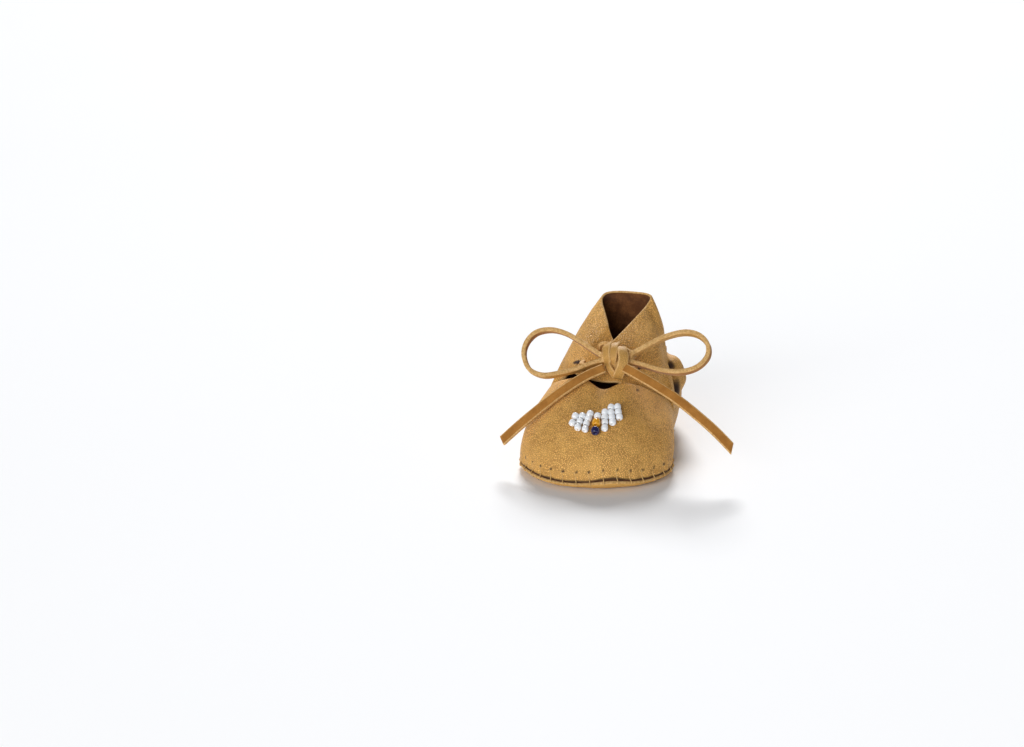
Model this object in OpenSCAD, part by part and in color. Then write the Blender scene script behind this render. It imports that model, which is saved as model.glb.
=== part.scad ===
// Infant moccasin: soft sole, one-piece leather upper split by a T cut,
// an ankle collar and a flat lace tied in a bow at the front.
// Toe points to -Y, heel to +Y, and the sole rests on z = 0.
// Angles around the foot run from 0 at the toe, through +90 on the +X side, to 180 at the heel.

/* [Sole] */
// Length over the sole seam
sole_len = 80; // [76:0.2:84]
// Half-width scale of the round toe
toe_half = 30.5; // [28:0.5:32]
// Half-width scale of the heel
heel_half = 20.7; // [19:0.1:22]
// Sideways skew that makes the toe foot-shaped
toe_skew = -0.03; // [-0.1:0.01:0.1]
// Height of the seam between sole and upper
seam_z = 3.2; // [3:0.1:4]
// Extra height of the seam beside the toe
seam_rise = 1.6; // [0:0.1:1.8]

/* [Upper] */
// Thickness of the leather
leather = 1.4; // [1.2:0.1:1.6]
// Half-width of the opening in the vamp
throat_half = 21; // [19:0.5:22]
// Foremost point of the opening
throat_y = -15; // [-16:0.5:-14]
// Height of the vamp's free edge at the instep
throat_z = 29.5; // [28.5:0.5:30]

/* [Ankle] */
// Height of the lace line
waist_z = 29; // [28:0.5:30]
// Half-width of the ankle at the lace line
waist_half = 17.8; // [17:0.1:18.5]
// Height of the rim at the back
rim_z = 47.3; // [45:0.1:49]
// Height of the point where the front flaps meet
vee_z = 36.7; // [36:0.1:38]
// Half-width of the rim
rim_half = 9.6; // [9:0.1:10.5]

/* [Lace] */
// Width of the flat lace
lace_w = 3.2; // [2.8:0.1:3.4]
// Thickness of the flat lace
lace_t = 1.5; // [1.3:0.1:1.6]
// Radius of the knot
knot_r = 4.6; // [4:0.1:4.8]

/* [Beads and stitches] */
// Outer diameter of a seed bead
bead_d = 2.2; // [1.8:0.1:2.3]
// Diameter of the sewing thread
thread_d = 0.5; // [0.4:0.1:0.6]
// Number of stitches round the sole
stitch_count = 48; // [40:1:60]

/* [Hidden] */
gap = 0.35;                      // clearance between pieces that move apart
sole_y = -1.6;                   // middle of the sole, the heel wall swells behind it
side_t = 97;                     // angle where vamp, flap and quarter meet
rim_corner_t = 100;              // angle of the rim's corners
vee_y = 1;                       // the point where the front flaps meet
throat_dip = 3.8;                // hollow in the middle of the vamp's free edge
lace_k = 0.7;                    // where the lace line falls on the side wall
right_end = 0.42;                // how far up the quarter the cut ends, right side
left_end = 0.55;                 // the same, left side
waist_y = 10;                    // centre of the ankle at the lace line
waist_run = 18.3;                // half depth of the ankle at the lace line
knot = [4, -9, 33];              // centre of the knot
bow_tilt = 35;                   // lean of the bow's plane from the vertical
bow_n = [0, -cos(bow_tilt), sin(bow_tilt)];   // the bow faces this way
bow_s = [0, sin(bow_tilt), cos(bow_tilt)];    // up, within the bow's plane
knot_round = 1.8;                // rounding of the knot's rim, and its depth in front
knot_back = 2.4;                 // its depth behind, down to the flaps

// ---- helpers ----
function ease(k) = let (c = max(0, min(1, k))) c * c * (3 - 2 * c);
function mix(a, b, k) = a * (1 - k) + b * k;
function bend(a, b, c, k) = a * (1 - k) * (1 - k) + b * 2 * k * (1 - k) + c * k * k;
function wrap(t) = t > 180 ? t - 360 : t;
function unit(v) = v / norm(v);

// ---- outline and surfaces of the leather ----
function outline(t) =
    let (w = heel_half + (toe_half - heel_half) * ease((95 - abs(t)) / 50),
         x = sign(t) * w * pow(abs(sin(t)), 0.79 + 0.075 * cos(t)))
    [x, sole_y - sole_len / 2 * cos(t) - toe_skew * x * (1 + cos(t)) / 2];

// the seam is level but for a low hump beside the toe
function seam_h(t) = seam_z + seam_rise * exp(-pow((t - 14) / 13, 2));

function seam(t) = let (o = outline(t)) [o.x, o.y, seam_h(t)];

function waist(t) =
    [0.5 + waist_half * sin(t), waist_y - waist_run * cos(t), waist_z];

// side and heel wall, from the seam at k = 0 to the lace line at k = 1
function quarter_pt(t, k) =
    let (o = outline(t), swell = ease((abs(t) - 85) / 45),
         c = [o.x * (1.13 + 0.25 * swell), o.y * (1 + 0.22 * swell), 15 + 3 * swell])
    bend(seam(t), c, waist(t), k);

// free edge of the vamp before it runs into the quarters
function throat_open(t) =
    let (low = t > 0 ? 13.5 : 17, fall = pow(max(0, cos(0.92 * t)), 1.4))
    [throat_half * sin(t), throat_y + 22 * (1 - cos(t)),
     low + (throat_z - low) * fall - throat_dip * exp(-pow((t - 2) / 13, 2))];

function vamp_pt(t, k) =
    let (o = outline(t), end = t > 0 ? right_end : left_end,
         c = [o.x * 1.05, o.y * 0.92, 18 - 4 * ease(abs(t) / 90)],
         open = bend(seam(t), c, throat_open(t), k))
    mix(open, quarter_pt(t, k * end), ease((abs(t) - 70) / (side_t - 70)));

// rim of the collar: a straight V edge up to each corner, an arc behind
function rim(t) =
    let (k = t / rim_corner_t, q = 90 * (abs(t) - rim_corner_t) / (180 - rim_corner_t))
    abs(t) <= rim_corner_t
      ? [mix(0.5, 1.8, abs(k)) + rim_half * k, vee_y + 18 * abs(k), mix(vee_z, rim_z, abs(k))]
      : [1.8 + sign(t) * rim_half * cos(q), vee_y + 18 + 4.5 * sin(q), rim_z];

function collar_pt(t, k) =
    let (out = 1.2 * sin(180 * k))
    mix(waist(t), rim(t), k) + out * [sin(t), -cos(t), 0];

// the collar folds back, so its lower edge rises from the lace line towards the sides
function fold_k(t) = 0.5 * ease((165 - abs(t)) / 60);

// side and heel wall up to the fold, the lace line is at k = lace_k
function wall_pt(t, k) =
    k <= lace_k ? quarter_pt(t, k / lace_k)
                : collar_pt(t, (k - lace_k) / (1 - lace_k) * max(0.01, fold_k(t)));

// a front flap, s = 1 right and -1 left; its angle a is negative past the centre,
// where the right flap runs on straight and the left one turns back behind it
function flap_edge(a, s) =
    let (k = a / rim_corner_t)
    [mix(0.5, 1.8, max(0, k)) + s * rim_half * k, vee_y + 18 * (s > 0 ? k : abs(k)),
     mix(vee_z, rim_z, k)];

function flap_tuck(a, s) =
    let (e = vamp_pt(s * a, 1), inset = 2.6 * ease((86 - abs(a)) / 18))
    e + [-s * sin(a) * inset, cos(a) * inset + 0.6 * ease((60 - a) / 30),
         gap - 4 * ease((66 - abs(a)) / 16)];

// lower edge of a flap: it hangs free under the knot and tucks inside the vamp at the side
function flap_low(a, s) =
    let (free = waist(s * a) + (s > 0 ? [0, -2, -2] : [0, -1.2, -1.8]))
    mix(free, flap_tuck(a, s), ease((a - (s > 0 ? 12 : 52)) / 20));

function flap_pt(a, s, k) =
    let (end = s > 0 ? right_end : left_end,
         low = mix(flap_low(a, s), waist(s * a), min(1, 2 * k)),
         side = quarter_pt(s * a, mix(end + 0.03, 1, min(1, 2 * k))),
         out = 1.2 * sin(180 * max(0, 2 * k - 1)) * ease(a / 60),
         high = mix(waist(s * a), flap_edge(a, s), max(0, 2 * k - 1)))
    k <= 0.5 ? mix(low, side, ease((a - 78) / (side_t - 78)))
             : high + out * [s * sin(a), -cos(a), 0];

// the left flap passes behind the right one
function under(a) = (leather + gap) * ease((40 - a) / 25);

// ---- leather skins: an outer grid, the same grid one leather thickness in, and the rims ----
function normal_at(f, t, k) =
    let (k0 = max(0, k - 0.03), k1 = min(1, k + 0.03))
    unit(cross(f(t + 1, k) - f(t - 1, k), f(t, k1) - f(t, k0)));

module skin(f, t0, t1, nt, nk, lift = function (t) 0) {
    m = nk + 1;
    ts = [for (i = [0:nt]) t0 + (t1 - t0) * i / nt];
    outer = [for (t = ts, j = [0:nk]) f(t, j / nk) - lift(t) * normal_at(f, t, j / nk)];
    inner = [for (t = ts, j = [0:nk])
                f(t, j / nk) - (lift(t) + leather) * normal_at(f, t, j / nk)];
    n = len(outer);
    body = [for (i = [0:nt - 1], j = [0:nk - 1]) let (a = i * m + j)
                each [[a, a + 1, a + m + 1], [a, a + m + 1, a + m],
                      [n + a, n + a + m + 1, n + a + 1], [n + a, n + a + m, n + a + m + 1]]];
    ends = [for (j = [0:nk - 1]) let (b = nt * m + j)
                each [[j, n + j, n + j + 1], [j, n + j + 1, j + 1],
                      [b, b + 1, n + b + 1], [b, n + b + 1, n + b]]];
    edges = [for (i = [0:nt - 1]) let (a = i * m, b = a + nk)
                each [[a, a + m, n + a + m], [a, n + a + m, n + a],
                      [b, n + b, n + b + m], [b, n + b + m, b + m]]];
    polyhedron(concat(outer, inner), concat(body, ends, edges));
}

// ---- flat cord: an eight-sided section swept along points ----
// wide is the half size towards n, thin the half size across it
function tangent(p, i) = unit(p[min(i + 1, len(p) - 1)] - p[max(i - 1, 0)]);

module ribbon(p, n, wide, thin) {
    sides = 8;
    last = len(p) - 1;
    rings = [for (i = [0:last]) let (d = tangent(p, i), b = unit(cross(d, n)), u = cross(b, d))
                each [for (q = [0:sides - 1]) let (a = 360 * (q + 0.5) / sides)
                    p[i] + u * wide * cos(a) + b * thin * sin(a)]];
    walls = [for (i = [0:last - 1], q = [0:sides - 1])
                let (a = i * sides + q, b = i * sides + (q + 1) % sides)
                each [[a, b, b + sides], [a, b + sides, a + sides]]];
    caps = [[for (q = [sides - 1:-1:0]) q], [for (q = [0:sides - 1]) last * sides + q]];
    polyhedron(rings, concat(walls, caps));
}

// smooth curve through hand-set points, a few steps between each pair
function spline(p, steps) =
    let (last = len(p) - 1)
    concat([for (i = [0:last - 1], j = [0:steps - 1])
        let (a = p[max(i - 1, 0)], b = p[i], c = p[i + 1], d = p[min(i + 2, last)], k = j / steps)
        0.5 * (2 * b + (c - a) * k + (2 * a - 5 * b + 4 * c - d) * k * k
               + (3 * b - a - 3 * c + d) * k * k * k)], [p[last]]);

// a point of the bow: across, up and towards the front, counted from the knot
function bow(p) = knot + [p.x, 0, 0] + p.y * bow_s + p.z * bow_n;

// Routes of the bow, in the bow's own plane
left_loop = [[-5.3, 2.1, 0], [-8.8, 4, 0], [-13.1, 6.5, 0], [-18.4, 9, 0], [-23.6, 9.8, 0],
             [-28.4, 8.4, 0], [-31.2, 4.7, 0], [-31.5, 0.2, 0], [-28.9, -4.4, 0],
             [-24.2, -6.1, 0], [-19.1, -5.2, 0], [-13.2, -3.3, 0], [-8.6, -1.1, 0],
             [-5.3, 0.1, 0]];
right_loop = [[5.3, 3.5, 0], [9.5, 6.3, 0], [15.3, 9.9, 0], [21.6, 11.9, 0], [26.6, 11.2, 0],
              [29.8, 8.2, 0], [30.1, 4.2, 0], [27.2, 0.4, 0], [22.3, -1.6, 0],
              [16.6, -1.7, 0], [10.3, -0.5, 0], [5.4, 0.5, 0]];
left_tail = [[-3.3, -3, 2.95], [-8.5, -6.4, 4.5], [-14.2, -11.3, 5.8], [-19.8, -16.6, 6.2],
             [-27.3, -23.6, 5.2], [-34, -30.1, 3.4]];
right_tail = [[3.6, -2.3, 2.95], [7.8, -4.2, 2.95], [15.1, -7.8, 2.95], [23.2, -12.4, 2.95],
              [34, -20, 2.4], [41.5, -26.4, 1.8]];

// the lace round the ankle: over the flaps, in through a slit on each side,
// out behind the ankle bone and across the back of the heel
function lace_pt(t) =
    let (a = abs(wrap(t)),
         out = mix(1.1, -leather - 1.2, ease((a - 42) / 10)) + (leather + 4.2) * ease((a - 124) / 10),
         rise = mix(1, -2.2, ease(a / 150)))
    waist(t) + out * [sin(t), -cos(t), 0] + rise * [-0.3 * sin(t), 0.9 * pow(cos(t / 2), 4), 1];

// ---- leather pieces ----
module sole() {
    steps = 72;
    thick = 1.6;
    // [shrink towards the middle, height] of each ring, round the section
    rings = [[0.84, 0], [0.94, 0.4], [0.985, 1.5], [1, 2.8], [0.955, 2.8], [0.94, 2.2],
             [0.9, 1.7], [0.8, thick]];
    pts = [for (r = rings, i = [0:steps - 1])
              let (t = wrap(360 * i / steps), o = outline(t))
              [o.x * r[0], o.y * r[0], r[1] * seam_h(t) / seam_z]];
    top = (len(rings) - 1) * steps;
    walls = [for (r = [0:len(rings) - 2], i = [0:steps - 1])
                let (a = r * steps + i, b = r * steps + (i + 1) % steps)
                each [[a, b + steps, b], [a, a + steps, b + steps]]];
    floors = [[for (i = [0:steps - 1]) i], [for (i = [steps - 1:-1:0]) top + i]];
    color("peru") polyhedron(pts, concat(walls, floors));
}

module vamp() {
    color("goldenrod") skin(function (t, k) vamp_pt(t, k), -side_t, side_t, 44, 7);
}

module quarters() {
    color("darkgoldenrod")
        skin(function (t, k) wall_pt(wrap(t), k), side_t, 360 - side_t, 36, 10);
}

module flap_right() {
    color("tan") skin(function (t, k) flap_pt(t, 1, k), -16, side_t - 1.5, 24, 10);
}

module flap_left() {
    color("burlywood")
        skin(function (t, k) flap_pt(-t, -1, k), -side_t, 16, 24, 10, function (t) under(-t));
}

// the collar's right end is trimmed back towards the rim, clear of the flap's inner side
function collar_t(t, k) = wrap(t + 14 * k * ease((side_t + 43 - t) / 40));

module ankle_collar() {
    color("sandybrown") skin(function (t, k)
        collar_pt(collar_t(t, k), mix(fold_k(wrap(t)) + 0.035, 1, k)),
        side_t + 2.6, 360 - side_t - 2.6, 34, 5);
}

// ---- stitches ----
module sole_stitches() {
    color("wheat") for (i = [0:stitch_count - 1]) {
        t = wrap(360 * (i + 0.5) / stitch_count);
        o = outline(t) * 0.973;
        translate([o.x, o.y, seam_h(t) - 1.6]) cylinder(d = thread_d, h = 3.2, $fn = 6);
    }
}

// short threads lying across the back seam, k running up the wall
module back_stitches(f, k0, k1, count) {
    for (i = [0:count - 1])
        translate(f(180, mix(k0, k1, i / (count - 1))) - [1.6, 0, 0])
            rotate([0, 90, 0]) cylinder(d = thread_d, h = 3.2, $fn = 6);
}

module heel_stitches() {
    color("wheat") back_stitches(function (t, k) quarter_pt(t, k), 0.1, 0.76, 8);
}

module collar_stitches() {
    color("wheat") back_stitches(function (t, k) collar_pt(t, k), 0.2, 0.94, 5);
}

// ---- lace ----
module ankle_lace() {
    p = [for (t = [16:6:344]) lace_pt(t)];
    color("chocolate") ribbon(p, [0, 0, 1], lace_w / 2, lace_t / 2);
}

module face_bow() {
    translate(knot) rotate([90 - bow_tilt, 0, 0]) children();
}

module knot_core() {
    color("sienna") face_bow() rotate_extrude($fn = 48) {
        translate([knot_r - knot_round, 0]) circle(r = knot_round, $fn = 32);
        translate([0, -knot_back]) square([knot_r - knot_round, knot_back + knot_round]);
    }
}

module knot_wrap() {
    color("chocolate") face_bow() translate([0, 0, knot_round]) rotate_extrude($fn = 48)
        polygon([[0, 0], [2.6, 0], [2.2, 0.9], [0, 1.4]]);
}

module bow_loop(points) {
    route = [for (p = spline(points, 2)) bow(p)];
    color("peru") ribbon(route, bow_n, lace_w / 2, lace_t / 2);
}

module lace_tail(points) {
    route = [for (p = spline(points, 3)) bow(p)];
    color("peru") ribbon(route, bow_n, lace_t / 2, lace_w / 2);
}

module bow_loop_left() bow_loop(left_loop);
module bow_loop_right() bow_loop(right_loop);
module lace_tail_left() lace_tail(left_tail);
module lace_tail_right() lace_tail(right_tail);

// ---- beads ----
bead_t = 3.1;                    // middle of the motif round the toe
bead_k = 0.605;                  // and up the vamp
mm_per_deg = 0.56;               // across the vamp there
mm_per_k = 39;                   // and up it
accent_d = bead_d * 1.23;        // the yellow and blue beads are larger

// Beads of each wing: [distance across, distance up] from the yellow bead
left_wing = [[-2.4, 3.6], [-2.5, 1.6], [-2.7, -0.3], [-2.7, -2.5],
             [-4.75, 2.3], [-4.95, 0.1], [-5, -2.2], [-7.05, 1.6], [-7.25, -0.9]];
right_wing = [[2.4, 4.3], [2.5, 2.3], [2.7, 0.4], [2.8, -1.9],
              [4.65, 5.9], [4.7, 3.9], [5, 2.1], [5.3, 0.2],
              [6.95, 5.7], [7.2, 3.8], [7.6, 1.9]];

function on_vamp(u, w, lift) =
    let (t = bead_t + u / mm_per_deg, k = bead_k + w / mm_per_k, d = 0.02)
    vamp_pt(t, k) + lift * unit(cross(vamp_pt(t + 1, k) - vamp_pt(t - 1, k),
                                      vamp_pt(t, k + d) - vamp_pt(t, k - d)));

// a bead's bore runs up the vamp, along its string
module bead(u, w, d = bead_d) {
    round_r = d * 0.18;
    half = d * 0.2;
    bore_way = unit(on_vamp(u, w + 0.5, 0) - on_vamp(u, w - 0.5, 0));
    translate(on_vamp(u, w, d / 2 + 0.1))
        rotate([0, acos(bore_way.z), atan2(bore_way.y, bore_way.x)])
            rotate_extrude($fn = 24) {
                for (z = [-half, half]) translate([d / 2 - round_r, z]) circle(r = round_r, $fn = 24);
                translate([d / 2 - 2 * round_r, -half]) square([2 * round_r, 2 * half]);
            }
}

module wing(places) {
    color("white") for (p = places) bead(p[0], p[1]);
}

module beads_left_wing() wing(left_wing);
module beads_right_wing() wing(right_wing);
module bead_head() color("white") bead(0, 2.9);
module bead_yellow() color("gold") bead(0, 0.1, accent_d);
module bead_blue() color("navy") bead(0, -3.2, accent_d);

// the thread shows below the lowest bead of three strings, where it goes into the leather
module bead_thread() {
    color("wheat") for (p = [left_wing[6], left_wing[8], right_wing[10]])
        translate(on_vamp(p[0], p[1] - 0.9, -0.4))
            cylinder(d = 0.3, h = 1.2, $fn = 6);
}

sole();
vamp();
quarters();
flap_left();
flap_right();
ankle_collar();
sole_stitches();
heel_stitches();
collar_stitches();
ankle_lace();
knot_core();
knot_wrap();
bow_loop_left();
bow_loop_right();
lace_tail_left();
lace_tail_right();
beads_left_wing();
beads_right_wing();
bead_head();
bead_yellow();
bead_blue();
bead_thread();
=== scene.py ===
import math

import bpy
import numpy as np
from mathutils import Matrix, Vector, noise


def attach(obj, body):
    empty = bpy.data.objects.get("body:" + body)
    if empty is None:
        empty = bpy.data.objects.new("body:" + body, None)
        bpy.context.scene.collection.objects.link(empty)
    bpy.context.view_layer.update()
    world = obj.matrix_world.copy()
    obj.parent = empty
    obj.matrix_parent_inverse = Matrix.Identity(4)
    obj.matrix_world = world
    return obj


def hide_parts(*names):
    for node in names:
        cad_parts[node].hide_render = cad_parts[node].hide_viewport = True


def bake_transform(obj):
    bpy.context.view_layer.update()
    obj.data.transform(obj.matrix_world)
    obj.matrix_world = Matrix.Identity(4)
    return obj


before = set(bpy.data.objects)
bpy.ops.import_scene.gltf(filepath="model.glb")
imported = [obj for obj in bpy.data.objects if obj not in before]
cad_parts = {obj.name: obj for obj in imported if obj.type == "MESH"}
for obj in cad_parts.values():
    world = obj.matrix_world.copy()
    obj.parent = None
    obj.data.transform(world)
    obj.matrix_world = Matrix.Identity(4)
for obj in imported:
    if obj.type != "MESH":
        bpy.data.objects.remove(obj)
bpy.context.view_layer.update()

# Shapes are worked out in millimetres, as in part.scad, and become metres when a mesh is made.
# Angles round the foot are in degrees: 0 at the toe, +90 on the +X side, 180 at the heel.
MM = 0.001

# ---- sizes shared with part.scad ----
SOLE_LEN, TOE_HALF, HEEL_HALF, TOE_SKEW, SOLE_Y = 80.0, 30.5, 20.7, -0.03, -1.6
SEAM_Z, SEAM_RISE = 3.2, 1.6
LEATHER = 1.4
THROAT_HALF, THROAT_Y, THROAT_Z, THROAT_DIP = 21.0, -15.0, 29.5, 3.8
WAIST_Z, WAIST_HALF, WAIST_Y, WAIST_RUN = 29.0, 17.8, 10.0, 18.3
RIM_Z, VEE_Y, VEE_Z, RIM_HALF, RIM_CORNER = 47.3, 1.0, 36.7, 9.6, 100
SIDE, RIGHT_END, LEFT_END, GAP = 97, 0.42, 0.55, 0.35
LACE_W, LACE_T = 3.2, 1.5
KNOT = np.array([4.0, -9.0, 33.0])
BOW_TILT = math.radians(35)
BOW_N = np.array([0, -math.cos(BOW_TILT), math.sin(BOW_TILT)])
BOW_S = np.array([0, math.sin(BOW_TILT), math.cos(BOW_TILT)])
STITCHES = 48
STITCH_RISE = 2.7                # the upper's stitch holes lie this far above its edge


# ---- camera ----
def make_camera():
    """The photograph's own view: 12 degrees to the right of the toe and 20 degrees up."""
    azimuth, elevation, distance = math.radians(12), math.radians(20), 0.56
    back = Vector((math.sin(azimuth) * math.cos(elevation),
                   -math.cos(azimuth) * math.cos(elevation), math.sin(elevation)))
    data = bpy.data.cameras.new("camera")
    data.sensor_width = 36
    data.lens = 58.36
    data.shift_x, data.shift_y = -0.094, 0.019
    camera = bpy.data.objects.new("camera", data)
    bpy.context.scene.collection.objects.link(camera)
    camera.location = Vector((0, -0.003, 0.02)) + back * distance
    camera.rotation_euler = (-back).to_track_quat("-Z", "Y").to_euler()
    bpy.context.scene.camera = camera


make_camera()


# ---- small maths ----
def ease(k):
    c = np.clip(k, 0, 1)
    return c * c * (3 - 2 * c)


def sin_d(angle):
    return np.sin(np.radians(angle))


def cos_d(angle):
    return np.cos(np.radians(angle))


def vec(x, y, z):
    """Points from coordinates, any of which may be an array."""
    return np.stack(np.broadcast_arrays(x, y, z), -1).astype(float)


def mix(a, b, k):
    """From a to b. With points as a or b, k may be an array."""
    k = np.asarray(k, float)
    if np.ndim(a) and np.shape(a)[-1] == 3:
        k = k[..., None]
    return a * (1 - k) + b * k


def bend(a, b, c, k):
    """Quadratic curve from a to c, drawn towards b."""
    k = np.asarray(k, float)[..., None]
    return a * (1 - k) ** 2 + b * 2 * k * (1 - k) + c * k * k


def hump(value, middle, width):
    """1 at the middle, falling away smoothly."""
    return np.exp(-((value - middle) / width) ** 2)


def plateau(value, middle, width):
    """1 over a flat middle, falling away at about the width."""
    return np.exp(-((value - middle) / width) ** 4)


def wrap(angle):
    return np.mod(np.asarray(angle) + 180, 360) - 180


def unit(v):
    return v / np.maximum(np.linalg.norm(v, axis=-1, keepdims=True), 1e-9)


def wobble(points, size, seed):
    """Smooth noise from -1 to 1 at each point; size is the spacing of its bumps."""
    shift = Vector((seed * 17.3, seed * 7.1, seed * 3.7))
    return np.array([noise.noise(Vector(p) / size + shift) for p in points.reshape(-1, 3)]
                    ).reshape(points.shape[:-1])


def spline(points, steps):
    """Smooth curve through given points."""
    p = np.array(points, float)
    last = len(p) - 1
    out = []
    for i in range(last):
        a, b, c, d = p[max(i - 1, 0)], p[i], p[i + 1], p[min(i + 2, last)]
        for j in range(steps):
            k = j / steps
            out.append(0.5 * (2 * b + (c - a) * k + (2 * a - 5 * b + 4 * c - d) * k * k
                              + (3 * b - a - 3 * c + d) * k ** 3))
    return np.array(out + [p[last]])


# ---- shader graphs ----
class Graph:
    """A material's node tree, built by short calls."""

    def __init__(self, name):
        self.material = bpy.data.materials.new(name)
        self.material.use_nodes = True
        self.tree = self.material.node_tree
        self.shader = self.tree.nodes["Principled BSDF"]
        self.place = self.node("ShaderNodeTexCoord").outputs["Object"]

    def node(self, kind, inputs=(), **settings):
        made = self.tree.nodes.new(kind)
        for key, value in settings.items():
            setattr(made, key, value)
        for key, value in dict(inputs).items():
            self.feed(made.inputs[key], value)
        return made

    def feed(self, socket, value):
        if isinstance(value, bpy.types.NodeSocket):
            self.tree.links.new(value, socket)
        else:
            socket.default_value = value

    def noise(self, scale, detail=2.0, roughness=0.5, place=None):
        made = self.node("ShaderNodeTexNoise", {"Vector": place or self.place, "Scale": scale,
                                                "Detail": detail, "Roughness": roughness})
        return made.outputs["Fac"]

    def cells(self, scale, feature, place=None, smooth=0.0):
        made = self.node("ShaderNodeTexVoronoi", feature=feature)
        self.feed(made.inputs["Vector"], place or self.place)
        self.feed(made.inputs["Scale"], scale)
        if feature == "SMOOTH_F1":
            self.feed(made.inputs["Smoothness"], smooth)
        return made.outputs["Distance"]

    def warped(self, scale, amount):
        """The object's coordinates, pushed about by noise."""
        wave = self.node("ShaderNodeTexNoise", {"Vector": self.place, "Scale": scale})
        centred = self.node("ShaderNodeVectorMath", {0: wave.outputs["Color"], 1: (0.5, 0.5, 0.5)},
                            operation="SUBTRACT").outputs[0]
        push = self.node("ShaderNodeVectorMath", {0: centred, "Scale": amount},
                         operation="SCALE").outputs[0]
        return self.node("ShaderNodeVectorMath", {0: self.place, 1: push},
                         operation="ADD").outputs[0]

    def stretched(self, scales):
        return self.node("ShaderNodeVectorMath", {0: self.place, 1: scales},
                         operation="MULTIPLY").outputs[0]

    def ramp(self, value, low, high, to_low=0.0, to_high=1.0):
        made = self.node("ShaderNodeMapRange", {"Value": value, "From Min": low, "From Max": high,
                                                "To Min": to_low, "To Max": to_high},
                         interpolation_type="SMOOTHSTEP")
        return made.outputs["Result"]

    def maths(self, operation, a, b=0.0):
        return self.node("ShaderNodeMath", {0: a, 1: b}, operation=operation).outputs[0]

    def blend(self, factor, a, b):
        made = self.node("ShaderNodeMix", data_type="RGBA")
        self.feed(made.inputs["Factor"], factor)
        self.feed(made.inputs[6], a if isinstance(a, bpy.types.NodeSocket) else (*a, 1))
        self.feed(made.inputs[7], b if isinstance(b, bpy.types.NodeSocket) else (*b, 1))
        return made.outputs[2]

    def attribute(self, name):
        return self.node("ShaderNodeAttribute", attribute_name=name).outputs["Fac"]

    def bump(self, height, distance, strength=1.0):
        made = self.node("ShaderNodeBump", {"Height": height, "Distance": distance,
                                            "Strength": strength})
        self.feed(self.shader.inputs["Normal"], made.outputs["Normal"])

    def finish(self, colour, roughness, specular=0.5, sheen=0.0, coat=0.0):
        self.feed(self.shader.inputs["Base Color"], colour)
        self.feed(self.shader.inputs["Roughness"], roughness)
        self.shader.inputs["Specular IOR Level"].default_value = specular
        self.shader.inputs["Sheen Weight"].default_value = sheen
        self.shader.inputs["Coat Weight"].default_value = coat
        return self.material


# Colours, in linear light
# the crease tone is partly the grain's own colour, partly painted shade
TAN, TAN_DEEP, TAN_CREASE = (0.92, 0.53, 0.148), (0.80, 0.44, 0.11), (0.38, 0.18, 0.042)
EDGE_PALE, EDGE_DEEP = (0.72, 0.46, 0.19), (0.50, 0.28, 0.09)
SUEDE_BROWN, SUEDE_DARK = (0.27, 0.105, 0.033), (0.11, 0.037, 0.011)
FLESH, FLESH_DEEP = (0.48, 0.215, 0.045), (0.34, 0.14, 0.026)
THREAD, THREAD_DEEP = (0.76, 0.50, 0.20), (0.52, 0.30, 0.10)
# near-black painted shade, for holes, slits and the seam's gap
PAINTED_SHADE_COLOUR = (0.035, 0.014, 0.005)


def grain_leather(name, pebble=0.62, tint=1.0, relief=0.13, depth=1.0):
    """Pebble-grained leather: rounded pebbles with dark creases, partly their own colour and
    partly painted shade, and a slow drift of colour.
    """
    g = Graph(name)
    crease_tone = tuple(mix(TAN_DEEP[i], TAN_CREASE[i], depth) * tint for i in range(3))
    place = g.warped(700, 0.0009)
    scale = 1000 / pebble
    crease = g.ramp(g.cells(scale, "DISTANCE_TO_EDGE", place), 0.0, 0.24)
    dome = g.ramp(g.cells(scale, "SMOOTH_F1", place, 0.35), 0.65, 0.0)
    fine = g.noise(5200, 3, 0.6)
    drift = g.ramp(g.noise(70, 3, 0.6), 0.35, 0.68)
    blotch = g.ramp(g.noise(600, 2, 0.5), 0.3, 0.72)
    base = g.blend(drift, tuple(c * tint for c in TAN_DEEP), tuple(c * tint for c in TAN))
    base = g.blend(g.maths("MULTIPLY", blotch, 0.35), base, tuple(c * tint for c in TAN_DEEP))
    faint = g.ramp(g.noise(240, 2, 0.5), 0.35, 0.65, 0.1, 0.5)
    # creases darkened towards the crease tone: partly the grain's own colour, partly painted shade
    crease_shaded = g.blend(g.maths("MAXIMUM", crease, faint), crease_tone, base)
    # painted shade from the point attribute: near-black where shade falls into gaps and holes
    shade_mask = g.attribute("painted_shade")
    colour = g.blend(shade_mask, crease_shaded, PAINTED_SHADE_COLOUR)
    height = g.maths("ADD", g.maths("MULTIPLY", crease, 0.55), g.maths("MULTIPLY", dome, 0.45))
    height = g.maths("ADD", height, g.maths("MULTIPLY", fine, 0.16))
    g.bump(height, relief * MM, 1.0)
    return g.finish(colour, g.ramp(fine, 0.2, 0.8, 0.48, 0.66), specular=0.35)


def suede(name, pale, deep, grain=0.5):
    """Brushed flesh side: short fibres and soft mottling."""
    g = Graph(name)
    fibre = g.noise(2600, 4, 0.7, g.stretched((1, 1, grain)))
    cloud = g.ramp(g.noise(260, 3, 0.6), 0.3, 0.7)
    base = g.blend(cloud, deep, pale)
    colour = g.blend(g.ramp(fibre, 0.35, 0.62, 0, 0.55), base, deep)
    g.bump(fibre, 0.12 * MM, 0.9)
    return g.finish(colour, 0.9, specular=0.15, sheen=0.15)


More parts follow.
